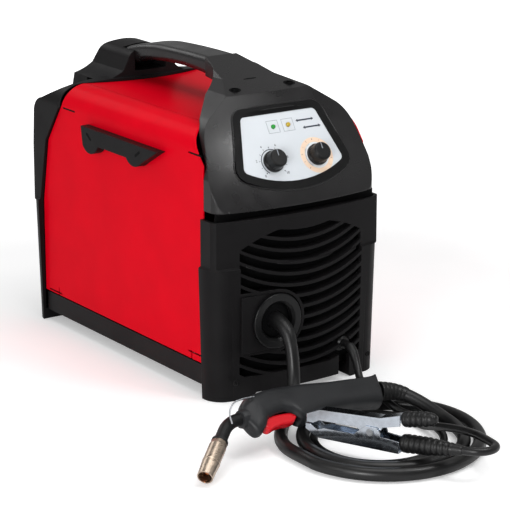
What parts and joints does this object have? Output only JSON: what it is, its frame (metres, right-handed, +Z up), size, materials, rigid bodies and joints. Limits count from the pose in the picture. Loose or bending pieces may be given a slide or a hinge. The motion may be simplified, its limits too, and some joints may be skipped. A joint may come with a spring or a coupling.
{
  "type": "mig welding machine",
  "caption": "Portable wire feed welding machine with a hinged side door over the reel, a sloping control panel, a carrying handle, a coiled torch cable with its torch and an earth clamp.",
  "frame": {"origin": "on the ground, midway between the sides and the front and rear faces of the housing", "axes": "+Z up, -Y towards the control panel and the torch outlet, -X towards the side door"},
  "size_m": [0.3894, 0.7934, 0.3666],
  "materials": {
    "cover_paint": "glossy red powder coat",
    "tray_steel": "black powder coat",
    "black_plastic": "fine grained black moulding",
    "hood_plastic": "satin black moulding",
    "panel_film": "light grey laminated film",
    "knob_plastic": "black moulded knobs",
    "lamp_green": "clear green lens",
    "lamp_yellow": "clear yellow lens",
    "board_green": "circuit board lacquer",
    "sheet_steel": "zinc plated sheet and pins",
    "bright_steel": "polished nickel plated pressings",
    "spool_plastic": "grey moulded reel",
    "wire_copper": "copper coated steel wire",
    "feeder_plastic": "dark moulding",
    "feeder_metal": "cast light alloy",
    "motor_steel": "turned steel",
    "roll_steel": "ground steel",
    "heatsink_alloy": "extruded light alloy",
    "core_steel": "varnished laminations",
    "adapter_brass": "machined brass",
    "switch_red": "red rocker",
    "cable_rubber": "black cable sheath",
    "torch_plastic": "grained dark grey handle",
    "trigger_red": "red moulding",
    "neck_sleeve": "heat resistant black sleeve",
    "nozzle_metal": "plated copper nozzle",
    "tip_copper": "copper contact tip",
    "boot_rubber": "ribbed black grips"
  },
  "bodies": {
    "housing": {"base_tray": "tray_steel", "front_moulding": "black_plastic", "outlet_plate": "black_plastic", "outlet_collar": "black_plastic", "console_hood": "hood_plastic", "carry_handle": "hood_plastic", "rear_moulding": "black_plastic", "cover_shell": "cover_paint", "hinge_pin_front": "sheet_steel", "hinge_pin_rear": "sheet_steel", "control_panel": "panel_film", "led_power": "lamp_green", "led_alarm": "lamp_yellow", "control_board": "board_green", "centre_partition": "sheet_steel", "spool_hub": "feeder_plastic", "spool_retainer": "feeder_plastic", "feed_plate": "feeder_metal", "feed_motor": "motor_steel", "wire_strand": "wire_copper", "torch_adapter": "adapter_brass", "power_board": "board_green", "heatsink": "heatsink_alloy", "transformer": "core_steel", "fan_frame": "feeder_plastic", "switch_frame": "feeder_plastic", "mains_gland": "feeder_plastic", "gas_inlet": "adapter_brass", "torch_cable_lead": "cable_rubber", "torch_cable_coil": "cable_rubber", "torch_cable_tail": "cable_rubber", "torch_handle_left": "torch_plastic", "torch_handle_right": "torch_plastic", "swan_neck": "neck_sleeve", "gas_nozzle": "nozzle_metal", "contact_tip": "tip_copper", "torch_hook": "sheet_steel", "earth_gland": "feeder_plastic", "earth_cable_lead": "cable_rubber", "earth_cable_coil": "cable_rubber", "earth_cable_tail": "cable_rubber", "clamp_lower_jaw": "bright_steel", "clamp_pin": "bright_steel", "clamp_spring": "bright_steel", "clamp_boot_lower": "boot_rubber"},
    "door": {"side_door": "cover_paint"},
    "latch": {"latch_grip": "black_plastic"},
    "knob_left": {"knob_left": "knob_plastic"},
    "knob_right": {"knob_right": "knob_plastic"},
    "spool": {"wire_spool": "spool_plastic", "welding_wire": "wire_copper"},
    "drive_roll": {"drive_roll": "roll_steel"},
    "pressure_arm": {"pressure_arm": "feeder_plastic"},
    "pressure_roll": {"pressure_roll": "roll_steel"},
    "tension_knob": {"tension_knob": "feeder_plastic"},
    "trigger": {"torch_trigger": "trigger_red"},
    "clamp_jaw": {"clamp_upper_jaw": "bright_steel", "clamp_boot_upper": "boot_rubber"},
    "rocker": {"power_switch": "switch_red"},
    "fan": {"fan_rotor": "feeder_plastic"}
  },
  "joints": [
    {"name": "door_hinge", "type": "hinge", "parent": "housing", "child": "door", "pos_m": [-0.106, 0, 0.045], "axis": [0, -1, 0], "range_deg": [0, 90]},
    {"name": "latch_slide", "type": "slide", "parent": "door", "child": "latch", "axis": [0, 0, -1], "range_m": [0, 0.008], "stiffness_N_per_m": 400, "springref_m": -0.004},
    {"name": "knob_left_turn", "type": "hinge", "parent": "housing", "child": "knob_left", "pos_m": [-0.0265, -0.19244, 0.26851], "axis": [0, -0.848, 0.53], "range_deg": [-150, 150]},
    {"name": "knob_right_turn", "type": "hinge", "parent": "housing", "child": "knob_right", "pos_m": [0.0346, -0.19244, 0.26851], "axis": [0, -0.848, 0.53], "range_deg": [-150, 150]},
    {"name": "spool_spin", "type": "hinge", "parent": "housing", "child": "spool", "pos_m": [-0.064, 0.075, 0.165], "axis": [1, 0, 0], "continuous": true},
    {"name": "drive_roll_spin", "type": "hinge", "parent": "housing", "child": "drive_roll", "pos_m": [-0.0385, -0.095, 0.0747], "axis": [1, 0, 0], "continuous": true},
    {"name": "pressure_arm_lift", "type": "hinge", "parent": "housing", "child": "pressure_arm", "pos_m": [-0.0385, -0.132, 0.11], "axis": [1, 0, 0], "range_deg": [0, 55]},
    {"name": "pressure_roll_spin", "type": "hinge", "parent": "pressure_arm", "child": "pressure_roll", "pos_m": [-0.0385, -0.095, 0.1023], "axis": [1, 0, 0], "continuous": true},
    {"name": "tension_knob_turn", "type": "hinge", "parent": "pressure_arm", "child": "tension_knob", "pos_m": [-0.0385, -0.061, 0.106], "axis": [0, 0, 1], "range_deg": [-180, 180]},
    {"name": "trigger_squeeze", "type": "hinge", "parent": "housing", "child": "trigger", "pos_m": [-0.15952, -0.36782, 0.03403], "axis": [0.083, -0.614, 0.785], "range_deg": [0, 7], "stiffness_Nm_per_rad": 0.5, "springref_deg": -2.86},
    {"name": "clamp_jaw_open", "type": "hinge", "parent": "housing", "child": "clamp_jaw", "pos_m": [-0.07639, -0.45379, 0.0364], "axis": [0.9078, 0.4195, 0], "range_deg": [0, 10], "stiffness_Nm_per_rad": 2, "springref_deg": -11.46},
    {"name": "rocker_tilt", "type": "hinge", "parent": "housing", "child": "rocker", "pos_m": [0.05, 0.2138, 0.062], "axis": [1, 0, 0], "range_deg": [-10, 10]},
    {"name": "fan_spin", "type": "hinge", "parent": "housing", "child": "fan", "pos_m": [0.05, 0.188, 0.137], "axis": [0, 1, 0], "continuous": true}
  ],
  "couplings": [
    {"joint": "drive_roll_spin", "follows": "spool_spin", "ratio": -5.8667},
    {"joint": "pressure_roll_spin", "follows": "spool_spin", "ratio": 7.3333}
  ]
}
